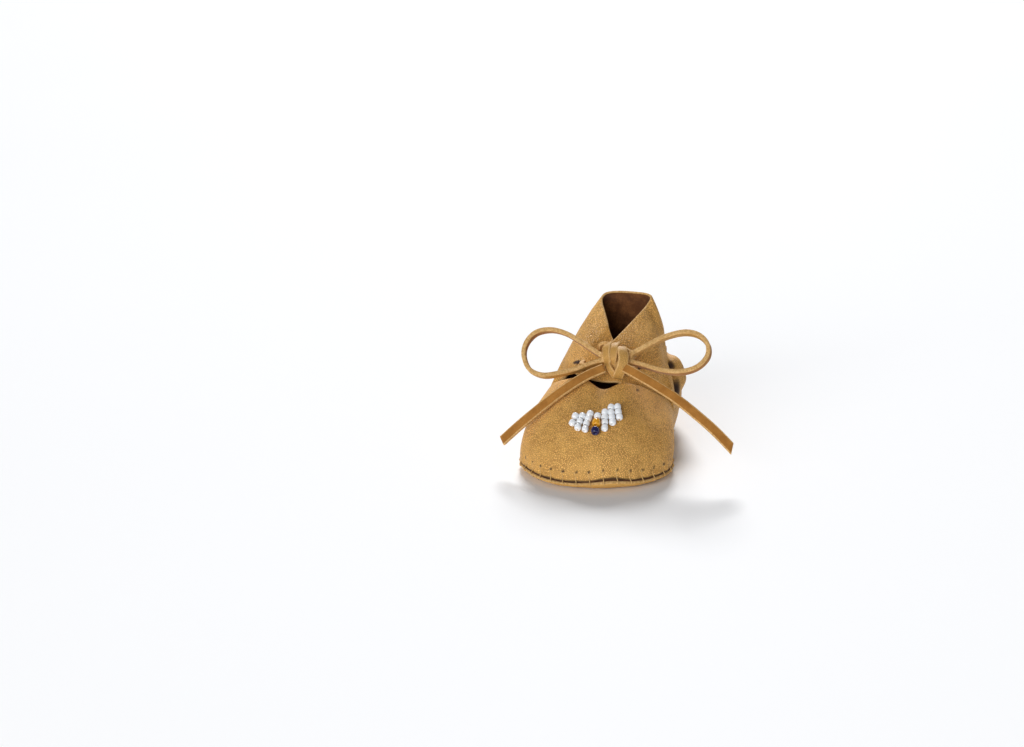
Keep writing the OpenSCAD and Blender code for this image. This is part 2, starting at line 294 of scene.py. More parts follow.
def cut_edge(name):
    """Raw edge of the leather: pale, with fine lengthwise layers."""
    g = Graph(name)
    layer = g.noise(1500, 4, 0.65, g.warped(900, 0.0005))
    colour = g.blend(g.ramp(layer, 0.35, 0.65), EDGE_DEEP, EDGE_PALE)
    # painted shade on the cut edge along the seam's gap
    colour = g.blend(g.attribute("painted_shade"), colour, PAINTED_SHADE_COLOUR)
    g.bump(layer, 0.10 * MM, 0.8)
    return g.finish(colour, 0.75, specular=0.25)


def thread_fibre(name):
    g = Graph(name)
    strand = g.noise(3800, 3, 0.6, g.stretched((1, 1, 0.35)))
    g.bump(strand, 0.06 * MM, 0.9)
    return g.finish(g.blend(g.ramp(strand, 0.35, 0.65), THREAD_DEEP, THREAD), 0.6, specular=0.4)


def bead_glass(name, colour, shade):
    """Opaque glass: glossy, with a faint cloudiness."""
    g = Graph(name)
    cloud = g.noise(900, 2, 0.5)
    g.bump(g.noise(1600, 2, 0.5), 0.02 * MM, 0.6)
    return g.finish(g.blend(g.ramp(cloud, 0.35, 0.65), shade, colour), 0.18, coat=0.35)


GRAIN = grain_leather("grain_leather")
SOLE_GRAIN = grain_leather("sole_leather", pebble=1.3, tint=0.88, relief=0.03, depth=0.2)
SUEDE = suede("suede_inside", SUEDE_BROWN, SUEDE_DARK)
EDGE = cut_edge("cut_edge")
LACE_GRAIN = grain_leather("lace_grain", pebble=0.6, tint=0.70, relief=0.05, depth=0.5)
LACE_FLESH = suede("lace_flesh", FLESH, FLESH_DEEP, grain=1.0)
THREAD_MAT = thread_fibre("waxed_thread")
BEAD_WHITE = bead_glass("bead_white", (0.96, 0.97, 0.99), (0.86, 0.90, 0.94))
BEAD_YELLOW = bead_glass("bead_yellow", (0.86, 0.42, 0.02), (0.70, 0.30, 0.01))
BEAD_BLUE = bead_glass("bead_blue", (0.008, 0.010, 0.11), (0.004, 0.005, 0.05))


# ---- meshes ----
def make_piece(name, points, faces, materials, face_slots=None, painted_shade=None):
    """A smooth mesh object from points in millimetres."""
    mesh = bpy.data.meshes.new(name)
    mesh.from_pydata((np.asarray(points) * MM).tolist(), [], [list(map(int, f)) for f in faces])
    for material in materials:
        mesh.materials.append(material)
    if face_slots is not None:
        mesh.polygons.foreach_set("material_index", np.asarray(face_slots, np.int32))
    mesh.polygons.foreach_set("use_smooth", np.ones(len(mesh.polygons), bool))
    # each point's painted shade, as an attribute that the materials read
    if painted_shade is not None:
        mesh.attributes.new("painted_shade", "FLOAT", "POINT").data.foreach_set(
            "value", np.asarray(painted_shade, np.float32))
    mesh.validate()
    mesh.update()
    made = bpy.data.objects.new(name, mesh)
    bpy.context.scene.collection.objects.link(made)
    return made


class Soup:
    """Collects several closed shapes into one mesh."""

    def __init__(self):
        self.points, self.faces, self.slots, self.count = [], [], [], 0

    def add(self, points, faces, slots=None):
        self.points.append(points)
        self.faces += [[i + self.count for i in f] for f in faces]
        self.slots += list(slots) if slots is not None else [0] * len(faces)
        self.count += len(points)

    def make(self, name, materials):
        return make_piece(name, np.concatenate(self.points), self.faces, materials, self.slots)


def vertex_normals(points, quads):
    q = points[quads]
    face = np.cross(q[:, 2] - q[:, 0], q[:, 3] - q[:, 1])
    out = np.zeros_like(points)
    for corner in range(4):
        np.add.at(out, quads[:, corner], face)
    return unit(out)


def boundary_edges(quads):
    """Edges that only one face has, in that face's direction."""
    edges = np.concatenate([quads[:, [i, (i + 1) % 4]] for i in range(4)])
    key = np.sort(edges, 1)
    _, index, count = np.unique(key, axis=0, return_index=True, return_counts=True)
    return edges[index[count == 1]]


def thicken(points, quads, thickness, round_out=0.35, steps=5):
    """Closed leather from an outer surface and its thickness at each point. Returns points,
    faces, the slot of each face (0 outer side, 1 inner side, 2 rounded cut edges) and the
    surface point that each point belongs to."""
    normal = vertex_normals(points, quads)
    inner = points - normal * thickness[:, None]
    count = len(points)
    edges = boundary_edges(quads)
    # the way off the leather, at each point of its edge
    along = points[edges[:, 1]] - points[edges[:, 0]]
    off = np.zeros_like(points)
    for corner in (0, 1):
        np.add.at(off, edges[:, corner], np.cross(along, normal[edges[:, corner]]))
    rim = np.unique(edges)
    off = unit(off)
    number = np.zeros(count, int)
    number[rim] = np.arange(len(rim))
    rings = []
    for s in range(1, steps):
        angle = math.pi * s / steps
        half = normal[rim] * thickness[rim, None] / 2
        rings.append(points[rim] - half + half * math.cos(angle)
                     + off[rim] * round_out * math.sin(angle))
    everything = np.concatenate([points, inner, *rings])

    def ring_index(step, index):
        if step == 0:
            return index
        if step == steps:
            return index + count
        return 2 * count + (step - 1) * len(rim) + number[index]

    faces = quads.tolist() + (quads[:, ::-1] + count).tolist()
    slots = [0] * len(quads) + [1] * len(quads)
    for s in range(steps):
        a, b = edges[:, 0], edges[:, 1]
        strip = np.stack([ring_index(s, b), ring_index(s, a),
                          ring_index(s + 1, a), ring_index(s + 1, b)], 1)
        faces += strip.tolist()
        slots += [2] * len(strip)
    owner = np.concatenate([np.arange(count), np.arange(count), np.tile(rim, steps - 1)])
    return everything, faces, slots, owner


def relax(points, quads, rounds):
    """Evens out the surface, with its edges held."""
    held = np.zeros(len(points), bool)
    held[np.unique(boundary_edges(quads))] = True
    edges = np.concatenate([quads[:, [i, (i + 1) % 4]] for i in range(4)])
    degree = np.zeros(len(points))
    np.add.at(degree, edges.ravel(), 1)
    for _ in range(rounds):
        total = np.zeros_like(points)
        np.add.at(total, edges[:, 0], points[edges[:, 1]])
        np.add.at(total, edges[:, 1], points[edges[:, 0]])
        mean = total / degree[:, None]
        points = np.where(held[:, None], points, points * 0.5 + mean * 0.5)
    return points


# ---- surfaces of the upper, as in part.scad ----
def outline(t):
    width = HEEL_HALF + (TOE_HALF - HEEL_HALF) * ease((95 - abs(t)) / 50)
    x = np.sign(t) * width * abs(sin_d(t)) ** (0.79 + 0.075 * cos_d(t))
    return x, SOLE_Y - SOLE_LEN / 2 * cos_d(t) - TOE_SKEW * x * (1 + cos_d(t)) / 2


def seam_h(t):
    return SEAM_Z + SEAM_RISE * hump(t, 14, 13)


def waist(t):
    return vec(0.5 + WAIST_HALF * sin_d(t), WAIST_Y - WAIST_RUN * cos_d(t), WAIST_Z)


def quarter_pt(t, k):
    x, y = outline(t)
    swell = ease((abs(t) - 85) / 45)
    middle = vec(x * (1.13 + 0.25 * swell), y * (1 + 0.22 * swell), 15 + 3 * swell)
    return bend(vec(x, y, seam_h(t)), middle, waist(t), k)


def throat(t):
    low = np.where(t > 0, 13.5, 17)
    fall = np.maximum(0, cos_d(0.92 * t)) ** 1.4
    return vec(THROAT_HALF * sin_d(t), THROAT_Y + 22 * (1 - cos_d(t)),
               low + (THROAT_Z - low) * fall - THROAT_DIP * hump(t, 2, 13))


def side_end(t):
    """How far up the quarter the T cut ends."""
    return np.where(t > 0, RIGHT_END, LEFT_END)


def vamp_pt(t, k):
    x, y = outline(t)
    middle = vec(x * 1.05, y * 0.92, 18 - 4 * ease(abs(t) / 90))
    front = bend(vec(x, y, seam_h(t)), middle, throat(t), k)
    return mix(front, quarter_pt(t, k * side_end(t)), ease((abs(t) - 70) / (SIDE - 70)))


def rim(t):
    k, q = t / RIM_CORNER, 90 * (abs(t) - RIM_CORNER) / (180 - RIM_CORNER)
    front = vec(mix(0.5, 1.8, abs(k)) + RIM_HALF * k, VEE_Y + 18 * abs(k),
                mix(VEE_Z, RIM_Z, abs(k)))
    back = vec(1.8 + np.sign(t) * RIM_HALF * cos_d(q), VEE_Y + 18 + 4.5 * sin_d(q), RIM_Z)
    return np.where((abs(t) <= RIM_CORNER)[..., None], front, back)


def collar_pt(t, k):
    out = 1.2 * sin_d(180 * k)
    return mix(waist(t), rim(t), k) + out[..., None] * vec(sin_d(t), -cos_d(t), 0)


def flap_edge(a, s):
    k = a / RIM_CORNER
    k0 = np.maximum(0, k)
    way = k if s > 0 else abs(k)
    return vec(mix(0.5, 1.8, k0) + s * RIM_HALF * k, VEE_Y + 18 * way, mix(VEE_Z, RIM_Z, k))


def flap_low(a, s):
    inset = 2.6 * ease((86 - abs(a)) / 18)
    tuck = vamp_pt(s * a, np.ones_like(a)) + vec(
        -s * sin_d(a) * inset, cos_d(a) * inset + 0.6 * ease((60 - a) / 30),
        GAP - 4 * ease((66 - abs(a)) / 16))
    free = waist(s * a) + (np.array([0, -2, -2]) if s > 0 else np.array([0, -1.2, -1.8]))
    return mix(free, tuck, ease((a - (12 if s > 0 else 52)) / 20))


def flap_pt(a, s, k):
    end = (RIGHT_END if s > 0 else LEFT_END) + 0.03 * ease((SIDE - a) / 6)
    lower, upper = np.minimum(1, 2 * k), np.maximum(0, 2 * k - 1)
    low = mix(flap_low(a, s), waist(s * a), lower)
    side = quarter_pt(s * a, mix(end, 1, lower))
    out = 1.2 * sin_d(180 * upper) * ease(a / 60)
    high = (mix(waist(s * a), flap_edge(a, s), upper)
            + out[..., None] * vec(s * sin_d(a), -cos_d(a), 0))
    below = mix(low, side, ease((a - 78) / (SIDE - 78)))
    return np.where((k <= 0.5)[..., None], below, high)


def lace_pt(t):
    """Middle of the lace round the ankle: out through the front slits, in at the sides."""
    a = abs(np.where(t > 180, t - 360, t))
    out = mix(0.9, -LEATHER - 1.2, ease((a - 29) / 8)) + (LEATHER + 4.2) * ease((a - 124) / 10)
    rise = mix(1, -2.2, ease(a / 150))
    return (waist(t) + out[..., None] * vec(sin_d(t), -cos_d(t), 0)
            + rise[..., None] * vec(-0.3 * sin_d(t), 0.9 * cos_d(t / 2) ** 4, 1))


# ---- ribbons ----
def section(half_w, half_t, corner=0.38):
    """Rounded rectangle, as (across the width, through the thickness), with the slot of the
    strip that follows each point: 0 grain side, 1 flesh side, 2 cut edge."""
    points, slots = [], []
    corners = [(1, 1, 0), (-1, 1, 90), (-1, -1, 180), (1, -1, 270)]
    for sx, sy, start in corners:
        r = min(corner, half_t * 0.9, half_w * 0.9)
        for j in range(4):
            angle = math.radians(start + 30 * j)
            points.append((sx * (half_w - r) + r * math.cos(angle),
                           sy * (half_t - r) + r * math.sin(angle)))
            slots.append(2)
        if start == 0:
            slots[-1] = 0
        if start == 180:
            slots[-1] = 1
    return points, slots


def ribbon(path, wide, half_w=LACE_W / 2, half_t=LACE_T / 2, cut=0.0, twist=None):
    """Flat lace swept along path. wide is the way its width points, for all points or each.
    cut slants the far end, twist turns the section in degrees."""
    count = len(path)
    wide = np.broadcast_to(np.asarray(wide, float), path.shape)
    run = unit(np.gradient(path, axis=0))
    b = unit(np.cross(run, wide))
    u = np.cross(b, run)
    if twist is not None:
        angle = np.radians(twist)[:, None]
        u, b = u * np.cos(angle) + b * np.sin(angle), b * np.cos(angle) - u * np.sin(angle)
    shape, slots = section(half_w, half_t)
    rings = []
    for i in range(count):
        lean = cut * ease((i - count + 7) / 6)
        for w, h in shape:
            rings.append(path[i] + u[i] * w + b[i] * h + run[i] * lean * w)
    n = len(shape)
    faces, face_slots = [], []
    for i in range(count - 1):
        for q in range(n):
            a, c = i * n + q, i * n + (q + 1) % n
            faces.append([a, c, c + n, a + n])
            face_slots.append(slots[q])
    faces += [list(range(n))[::-1], [(count - 1) * n + q for q in range(n)]]
    return np.array(rings), faces, face_slots + [2, 2]


def tube(path, radius, sides=8):
    """Round thread with tapered, closed ends."""
    run = unit(np.gradient(path, axis=0))
    side = np.array([0.31, 0.52, 0.79])
    b = unit(np.cross(run, side))
    u = np.cross(b, run)
    rings = []
    for i in range(len(path)):
        r = radius * (0.45 if i in (0, len(path) - 1) else 1)
        for q in range(sides):
            angle = 2 * math.pi * q / sides
            rings.append(path[i] + (u[i] * math.cos(angle) + b[i] * math.sin(angle)) * r)
    faces = [[i * sides + q, i * sides + (q + 1) % sides,
              (i + 1) * sides + (q + 1) % sides, (i + 1) * sides + q]
             for i in range(len(path) - 1) for q in range(sides)]
    last = (len(path) - 1) * sides
    faces += [list(range(sides))[::-1], [last + q for q in range(sides)]]
    return np.array(rings), faces


# ---- the bow: four free stretches of lace ----
# Routes in the bow's own plane: across, up, towards the front, counted from the knot
LEFT_LOOP = [(-5.3, 2.1, 0), (-8.8, 4, 0), (-13.1, 6.5, 0), (-18.4, 9, 0), (-23.6, 9.8, 0),
             (-28.4, 8.4, 0), (-31.2, 4.7, 0), (-31.5, 0.2, 0), (-28.9, -4.4, 0),
             (-24.2, -6.1, 0), (-19.1, -5.2, 0), (-13.2, -3.3, 0), (-8.6, -1.1, 0),
             (-5.3, 0.1, 0)]
RIGHT_LOOP = [(5.3, 3.5, 0), (9.5, 6.3, 0), (15.3, 9.9, 0), (21.6, 11.9, 0), (26.6, 11.2, 0),
              (29.8, 8.2, 0), (30.1, 4.2, 0), (27.2, 0.4, 0), (22.3, -1.6, 0), (16.6, -1.7, 0),
              (10.3, -0.5, 0), (5.4, 0.5, 0)]
LEFT_TAIL = [(-3.3, -3, 2.95), (-8.5, -6.4, 4.5), (-14.2, -11.3, 5.8), (-19.8, -16.6, 6.2),
             (-27.3, -23.6, 5.2), (-34, -30.1, 3.4)]
RIGHT_TAIL = [(3.6, -2.3, 2.95), (7.8, -4.2, 2.95), (15.1, -7.8, 2.95), (23.2, -12.4, 2.95),
              (34, -20, 2.4), (41.5, -26.4, 1.8)]


def bow(points):
    """Points of the bow's plane in the row frame."""
    p = np.asarray(points, float)
    return KNOT + p[..., :1] * np.array([1.0, 0, 0]) + p[..., 1:2] * BOW_S + p[..., 2:] * BOW_N


def make_cord(name, body, node, route, wide, twist, sides, cut=0.0):
    path = bow(spline(route, 8))
    turn = twist * wobble(path, 9.0, len(name))
    points, faces, slots = ribbon(path, wide(path), twist=turn, cut=cut)
    piece = make_piece(name, points, faces, [*sides, EDGE], slots)
    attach(piece, body)
    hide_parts(node)
    return piece


def edge_on(path):
    """The loops stand on edge, so their width points out of the bow's plane."""
    return BOW_N


def flat_on(path):
    """The tails lie flat in the bow's plane."""
    return np.cross(BOW_N, unit(np.gradient(path, axis=0)))


GRAIN_FIRST, FLESH_FIRST = (LACE_GRAIN, LACE_FLESH), (LACE_FLESH, LACE_GRAIN)
make_cord("loop_left_lace", "loop_left", "bow_loop_left", LEFT_LOOP, edge_on,
          8, GRAIN_FIRST)
make_cord("loop_right_lace", "loop_right", "bow_loop_right", RIGHT_LOOP, edge_on,
          8, GRAIN_FIRST)
make_cord("tail_left_lace", "tail_left", "lace_tail_left", LEFT_TAIL, flat_on,
          6, FLESH_FIRST, cut=0.25)
make_cord("tail_right_lace", "tail_right", "lace_tail_right", RIGHT_TAIL, flat_on,
          6, FLESH_FIRST, cut=-0.7)


# ---- the upper, one cut of leather ----
def even_angles(count):
    """Angles that divide the seam into equal lengths."""
    t = np.linspace(-180, 180, 1441)
    x, y = outline(t)
    run = np.concatenate([[0], np.cumsum(np.hypot(np.diff(x), np.diff(y)))])
    return np.interp((np.arange(count) + 0.5) / count * run[-1], run, t)


BEAD_T, BEAD_K, MM_PER_DEG, MM_PER_K = 3.1, 0.605, 0.56, 39   # the beads
ROUND_OVER = 24                  # degrees over which the rim's corners are rounded
FOLD_T = 99.5                    # angle of the fold behind the right flap
LOW_ROWS, HIGH_ROWS = 54, 60     # rows of faces from the seam to the T cut's level, and above it
FLAP_PAST = 16                   # the flaps pass the middle by this angle
T_HIGH = np.arange(-FLAP_PAST, 361 + FLAP_PAST, dtype=float)   # columns above the T cut
HELD = 40                        # columns at each flap's free end that rounding leaves alone
FOLD_IN, LOBE_OUT, SLIM_IN, NECK_IN, PINCH_IN = 2.4, 2.4, 1.1, 1.1, 0.35   # depths of creases


def lower_rows():
    """Places of the rows up the foot, closer together near the seam."""
    return (np.arange(LOW_ROWS + 1) / LOW_ROWS) ** 1.25


def lower_surface():
    t = np.arange(-180, 180, dtype=float)[:, None]
    k = lower_rows()[None, :]
    t, k = np.broadcast_arrays(t, k)
    walls = quarter_pt(t, k * wall_end(t))
    return np.where((abs(t) <= SIDE)[..., None], vamp_pt(t, k), walls)


def wall_end(t):
    """The T cut's level carried round the heel, from the right side's to the left side's."""
    turn = np.mod(t, 360)
    return mix(RIGHT_END, LEFT_END, np.clip((turn - SIDE) / (360 - 2 * SIDE), 0, 1))


def upper_surface():
    """Columns run from the right flap's free end, round the heel, to the left flap's."""
    t = T_HIGH[:, None]
    k = (np.arange(HIGH_ROWS + 1) / HIGH_ROWS)[None, :]
    t, k = np.broadcast_arrays(t, k)
    right, left = flap_pt(t, 1, k), flap_pt(360 - t, -1, k)
    turn = np.where(t > 180, t - 360, t)
    lower, upper = np.minimum(1, 2 * k), np.maximum(0, 2 * k - 1)
    wall = np.where((k <= 0.5)[..., None], quarter_pt(turn, mix(wall_end(t), 1, lower)),
                    collar_pt(turn, upper))
    return np.where((t < SIDE)[..., None], right,
                    np.where((t > 360 - SIDE)[..., None], left, wall))


def dark_marks():
    """Painted shade in holes, slits and a notch, as dark spots: [middle, way, half length, half
    width] of each.
    """
    up = np.array([0, 0, 1.0])
    marks = []
    # painted shade in the lace's slits through the flaps; the right one stands for the shadow
    # under the loop's strand
    for side, a, k, half in ((-1, 41.0, 0.55, 2.4), (1, 34.0, 0.56, 1.8)):
        ends = flap_pt(np.array([a + 8, a - 8]), side, np.array([k - 0.03, k + 0.03]))
        marks.append((flap_pt(np.array(a), side, np.array(k)), unit(ends[1] - ends[0]), half, 0.8))
    # painted shade in the notch at the throat's right
    marks.append((vamp_pt(np.array(33.0), np.array(0.95)), up, 0.7, 0.5))
    # painted shade in each stitch hole
    for t in even_angles(STITCHES):
        curve = low_curve(t)
        k = np.searchsorted(curve[:, 2], float(seam_h(t)) + STITCH_RISE)
        marks.append((curve[k], up, 0.5, 0.42))
    # a spot of painted shade between the top bead and the right wing
    t, k = BEAD_T + 0.3 / MM_PER_DEG, BEAD_K + 4.4 / MM_PER_K
    marks.append((vamp_pt(np.array(t), np.array(k)), up, 0.6, 0.6))
    return marks


def low_curve(t):
    """Points up the lowest part of the foot's side, before it is relaxed."""
    k = np.linspace(0, 0.3, 120)
    t = np.full_like(k, t)
    return vamp_pt(t, k) if abs(t[0]) <= SIDE else quarter_pt(t, k)


def round_rim(high):
    """Rounds the rim's corners, lifts its back a little and lowers its left corner."""
    crown = high[:, -1].copy()
    crown[:, 2] += (0.9 * ease((T_HIGH - 98) / 26) * ease((272 - T_HIGH) / 60)
                    - 0.9 * hump(T_HIGH, 262, 13))
    pad = np.pad(crown, ((ROUND_OVER, ROUND_OVER), (0, 0)), "edge")
    window = 2 * ROUND_OVER + 1
    soft = sum(pad[i:i + len(high)] for i in range(window)) / window
    soft[:HELD] = high[:HELD, -1]
    soft[-HELD:] = high[-HELD:, -1]
    k = np.arange(high.shape[1]) / HIGH_ROWS
    return high + (soft - high[:, -1])[:, None, :] * ease((k - 0.45) / 0.55)[None, :, None]


def pass_behind(high):
    """Takes the left flap's free end behind the right flap."""
    behind = (LEATHER + GAP) * ease((40 - (360 - T_HIGH)) / 25)
    normal = unit(np.cross(np.gradient(high, axis=0), np.gradient(high, axis=1)))
    return high - normal * behind[:, None, None]


def grid_quads(a, b):
    """Faces between the columns of point numbers in a and the columns beside them in b."""
    return np.stack([a[:, :-1], b[:, :-1], b[:, 1:], a[:, 1:]], -1).reshape(-1, 4)


def join_grids(low, high):
    """Both grids as one surface. They share a row round the heel, where the leather isn't cut.
    Returns points, faces, each point's angle and the numbers of the lower grid's points."""
    columns, rows = low.shape[:2]
    low_index = np.arange(columns * rows).reshape(columns, rows)
    high_index = columns * rows + np.arange(high.shape[0] * high.shape[1]).reshape(high.shape[:2])
    for c, t in enumerate(T_HIGH.astype(int)):
        if SIDE <= t <= 360 - SIDE:
            high_index[c, 0] = low_index[(t + 180) % 360, rows - 1]
    quads = np.concatenate([grid_quads(low_index, np.roll(low_index, -1, axis=0)),
                            grid_quads(high_index[:-1], high_index[1:])])
    points = np.concatenate([low.reshape(-1, 3), high.reshape(-1, 3)])
    angle = np.concatenate([np.repeat(np.arange(-180, 180.0), rows),
                            np.repeat(T_HIGH, high.shape[1])])
    used = np.unique(quads)
    renumber = np.full(len(points), -1)
    renumber[used] = np.arange(len(used))
    return points[used], renumber[quads], angle[used], renumber[low_index]


def creases(points, angle, above):
    """How far the leather stands out from its plain shape at each point."""
    height = points[:, 2]
    # a fold behind the right flap, with a bulge beyond it
    band = ease((height - 15) / 5) * ease((29 - height) / 2.5)
    fold = hump(angle, FOLD_T, 2.6) * band
    lobe = hump(angle, FOLD_T + 14, 8) * band
    slim = hump(angle, 88, 14) * ease((height - 20) / 8)
    neck = hump(angle, 113, 11) * ease((height - 25) / 3) * ease((38 - height) / 6)
    # each stitch pulls the leather in a little
    order = np.interp(wrap(angle), even_angles(STITCHES), np.arange(STITCHES))
    pinch = (0.5 + 0.5 * np.cos(2 * math.pi * order)) * hump(above, 1.0, 2.2)
    return (0.28 * wobble(points, 11.0, 1) + 0.10 * wobble(points, 4.0, 2) - FOLD_IN * fold
            + LOBE_OUT * lobe - SLIM_IN * slim - NECK_IN * neck - PINCH_IN * pinch)


def darkness(points, angle, height, above):
    """How dark each point is painted: shade in the fold behind the right flap, in the seam's gap
    above the sole and in holes; and the seam gap's share alone.
    """
    # painted shade in the fold's crease behind the right flap, at two heights
    fold_shade = plateau(angle, FOLD_T + 2.5, 3.2) * (plateau(height, 26.1, 1.5)
                                                 + plateau(height, 18.6, 3.0))
    # painted shade along the gap between the upper's edge and the sole
    seam_shade = ease((0.45 + 0.3 * wobble(points, 6.0, 3) - above) / 0.5)
    dark = np.maximum(fold_shade, 0.9 * seam_shade)
    for centre, way, half_long, half_wide in dark_marks():
        off = points - centre
        run = off @ way
        across = np.linalg.norm(off - run[:, None] * way, axis=1)
        away = np.hypot(run / half_long, across / half_wide)
        dark = np.maximum(dark, ease((1.25 - away) / 0.5))
    return dark, seam_shade


def make_upper():
    """Makes the upper. Returns the places and normals of the lower grid, for what is sewn on."""
    low, high = lower_surface(), pass_behind(round_rim(upper_surface()))
    points, quads, angle, low_numbers = join_grids(low, high)
    points = relax(points, quads, 6)
    height = points[:, 2]
    above = height - seam_h(wrap(angle))
    points = points + vertex_normals(points, quads) * creases(points, angle, above)[:, None]
    dark, seam_shade = darkness(points, angle, height, above)
    skived = LEATHER * (1 - 0.4 * ease((height - 40) / 5))
    everything, faces, slots, owner = thicken(points, quads, skived)
    # painted shade: none on the inner side, and of the cut edges only the seam's, where its gap is
    # shaded
    count = len(points)
    painted_shade = dark[owner]
    painted_shade[count:2 * count] = 0
    painted_shade[2 * count:] *= seam_shade[owner[2 * count:]] > 0.1
    piece = make_piece("upper_leather", everything, faces, [GRAIN, SUEDE, EDGE], slots, painted_shade=painted_shade)
    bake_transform(piece)
    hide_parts("vamp", "quarters", "flap_left", "flap_right", "ankle_collar")
    return points[low_numbers], vertex_normals(points, quads)[low_numbers]


LOW_GRID, LOW_NORMALS = make_upper()


def on_wall(t, row, lift):
    """A point of the finished lower surface, at an angle and a place between rows."""
    column = (t + 180) % 360
    c0, r0 = int(column), min(int(row), LOW_ROWS - 1)
    c1, fc, fr = (c0 + 1) % 360, column - c0, row - r0

    def at(grid):
        return ((grid[c0, r0] * (1 - fr) + grid[c0, r0 + 1] * fr) * (1 - fc)
                + (grid[c1, r0] * (1 - fr) + grid[c1, r0 + 1] * fr) * fc)
    return at(LOW_GRID) + unit(at(LOW_NORMALS)) * lift


def row_at_height(t, z):
    """The row where the finished surface reaches height z."""
    heights = LOW_GRID[int((t + 180) % 360), :, 2]
    return float(np.interp(z, heights[:30], np.arange(30)))


# ---- sole ----
def make_sole():
    """Turned-up sole: flat below, a lip outside the seam and a shallow dish inside."""
    steps = 360
    t = np.arange(steps, dtype=float) - 180
    x, y = outline(t)
    profile = [(0.02, 0), (0.3, 0), (0.6, 0), (0.80, 0), (0.875, 0.06), (0.925, 0.28),
               (0.957, 0.65), (0.98, 1.2), (0.992, 1.8), (0.999, 2.3), (0.997, 2.62),
               (0.985, 2.78), (0.972, 2.85), (0.955, 3.3), (0.945, 3.5), (0.93, 3.3),
               (0.925, 2.5), (0.90, 1.9), (0.80, 1.6), (0.5, 1.55), (0.02, 1.55)]
    rings = []
    for scale, z in profile:
        scale += 0.014 * ease((z - 0.8) / 1.2) * ease((scale - 0.96) / 0.02)
        ring = vec(x * scale, y * scale, z * 0.95 * seam_h(t) / SEAM_Z)
        if scale > 0.93 and 0.2 < z < 3.2:
            ring += (vec(x, y, 0) / 40) * (0.3 * wobble(ring, 7.0, 5))[:, None]
            ring[:, 2] += 0.12 * wobble(ring, 4.0, 6)
        rings.append(ring)
    points = np.concatenate(rings)
    faces = []
    for r in range(len(rings) - 1):
        for i in range(steps):
            a, b = r * steps + i, r * steps + (i + 1) % steps
            faces.append([a, b, b + steps, a + steps])
    last = (len(rings) - 1) * steps
    faces += [list(range(steps))[::-1], [last + i for i in range(steps)]]
    slots = [2 if 9 <= f // steps <= 10 else (1 if f // steps > 10 else 0)
             for f in range(len(faces) - 2)] + [0, 1]
    piece = make_piece("sole_leather", points, faces, [SOLE_GRAIN, SUEDE, EDGE], slots)
    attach(piece, "shoe")
    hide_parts("sole")


make_sole()


# ---- stitches ----
def make_sole_stitches():
    """Whip stitches: out of the upper, down over both edges and into the sole."""
    soup = Soup()
    for i, t in enumerate(even_angles(STITCHES)):
        slant = 0.8
        x, y = outline(t + slant)
        seam = float(seam_h(t))
        top = seam + STITCH_RISE
        lip = seam / SEAM_Z
        path = [on_wall(t - slant, row_at_height(t, top), -0.5),
                on_wall(t - slant, row_at_height(t, top - 0.1), -0.1),
                on_wall(t - slant * 0.6, row_at_height(t, top - 0.9), -0.14),
                on_wall(t, row_at_height(t, seam + 0.9), -0.08),
                on_wall(t + slant * 0.4, 0, 0.22),
                np.array([x * 1.016, y * 1.016, 2.55 * lip]),
                np.array([x * 1.008, y * 1.008, 1.9 * lip]),
                np.array([x * 0.965, y * 0.965, 1.5 * lip])]
        soup.add(*tube(spline(path, 3), 0.16))
    piece = soup.make("sole_thread", [THREAD_MAT])
    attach(piece, "shoe")
    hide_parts("sole_stitches")


make_sole_stitches()


# ---- ankle lace and knot ----
def make_ankle_lace():
    t = np.arange(16, 345, 3.0)
    tuck = 0.9 * hump(t, 112, 14) + 3.2 * hump(t, 128, 9)
    path = lace_pt(t) - tuck[:, None] * vec(sin_d(t), -cos_d(t), 0)
    points, faces, slots = ribbon(path, (0, 0, 1))
    piece = make_piece("ankle_lace_strap", points, faces, [LACE_FLESH, LACE_GRAIN, EDGE], slots)
    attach(piece, "shoe")
    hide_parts("ankle_lace")


